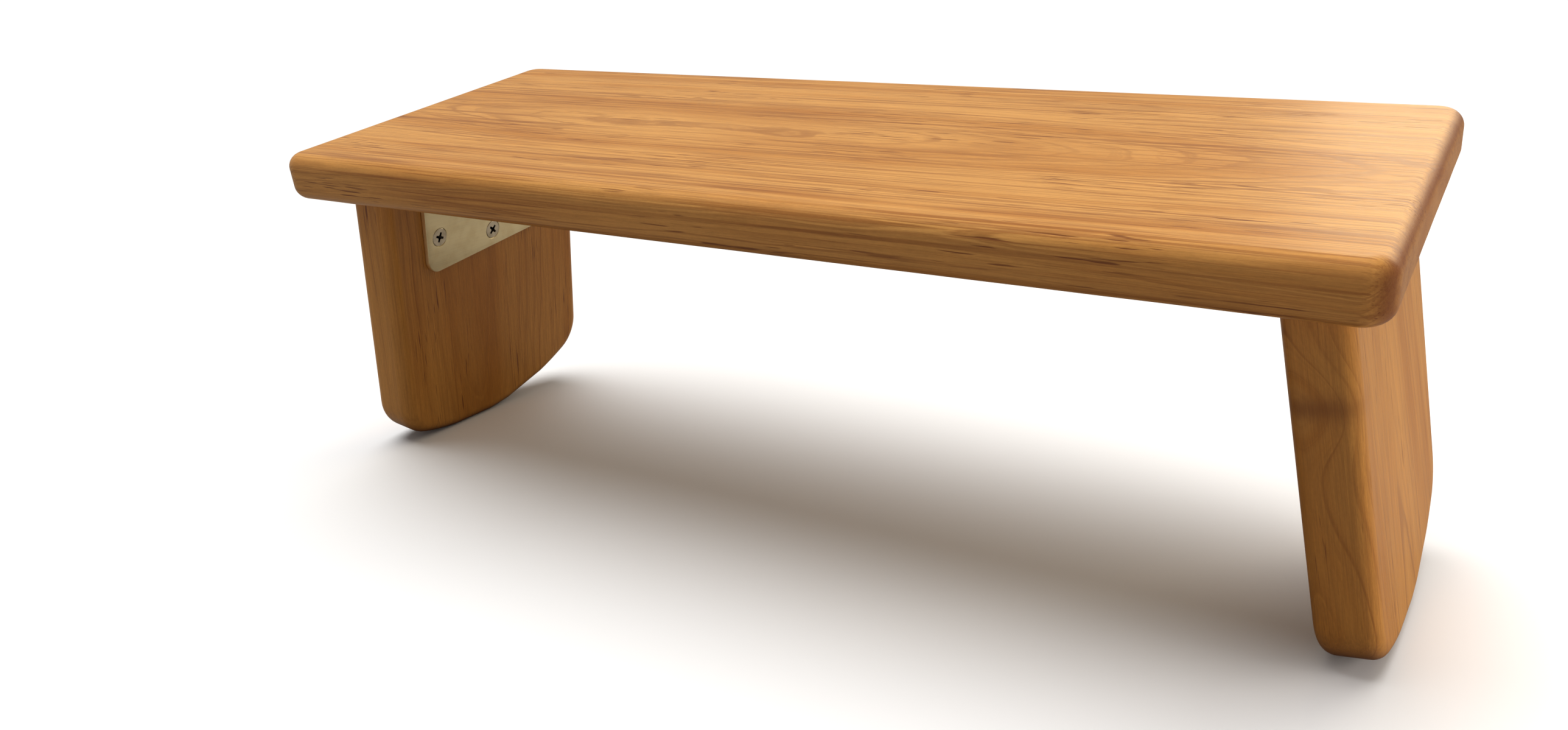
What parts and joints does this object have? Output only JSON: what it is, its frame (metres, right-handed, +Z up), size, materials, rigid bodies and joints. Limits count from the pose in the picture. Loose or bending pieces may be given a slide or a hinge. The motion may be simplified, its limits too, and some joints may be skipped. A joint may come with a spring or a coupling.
{
  "type": "folding kneeling bench",
  "caption": "Low wooden kneeling bench with a tilted seat board on two splayed rocker-foot legs that fold flat beneath it on brass butt hinges.",
  "frame": {"origin": "middle of the open bench's footprint box, on the floor", "axes": "+X along the seat, +Y to the back, where the seat is high, +Z up"},
  "size_m": [0.4728, 0.1722, 0.1754],
  "materials": {
    "seat_wood": "satin lacquer, honey brown",
    "leg_wood": "satin lacquer, honey brown",
    "leaf_brass": "satin brass plate",
    "pin_brass": "satin brass plate",
    "screw_brass": "satin brass plate"
  },
  "bodies": {
    "seat": {"seat_board": "seat_wood", "left_hinge_seat_leaf": "leaf_brass", "left_hinge_pin": "pin_brass", "left_hinge_tip": "pin_brass", "left_seat_screw_front": "screw_brass", "left_seat_screw_middle": "screw_brass", "left_seat_screw_back": "screw_brass", "right_hinge_seat_leaf": "leaf_brass", "right_hinge_pin": "pin_brass", "right_hinge_tip": "pin_brass", "right_seat_screw_front": "screw_brass", "right_seat_screw_middle": "screw_brass", "right_seat_screw_back": "screw_brass"},
    "left_leg": {"left_leg": "leg_wood", "left_hinge_leg_leaf": "leaf_brass", "left_leg_screw_front": "screw_brass", "left_leg_screw_middle": "screw_brass", "left_leg_screw_back": "screw_brass"},
    "right_leg": {"right_leg": "leg_wood", "right_hinge_leg_leaf": "leaf_brass", "right_leg_screw_front": "screw_brass", "right_leg_screw_middle": "screw_brass", "right_leg_screw_back": "screw_brass"}
  },
  "joints": [
    {"name": "left_leg_fold", "type": "hinge", "parent": "seat", "child": "left_leg", "pos_m": [-0.18685, 0.00485, 0.13743], "axis": [0, -0.9903, -0.1392], "range_deg": [0, 104.4]},
    {"name": "right_leg_fold", "type": "hinge", "parent": "seat", "child": "right_leg", "pos_m": [0.18685, 0.00485, 0.13743], "axis": [0, 0.9903, 0.1392], "range_deg": [0, 104.4]}
  ]
}
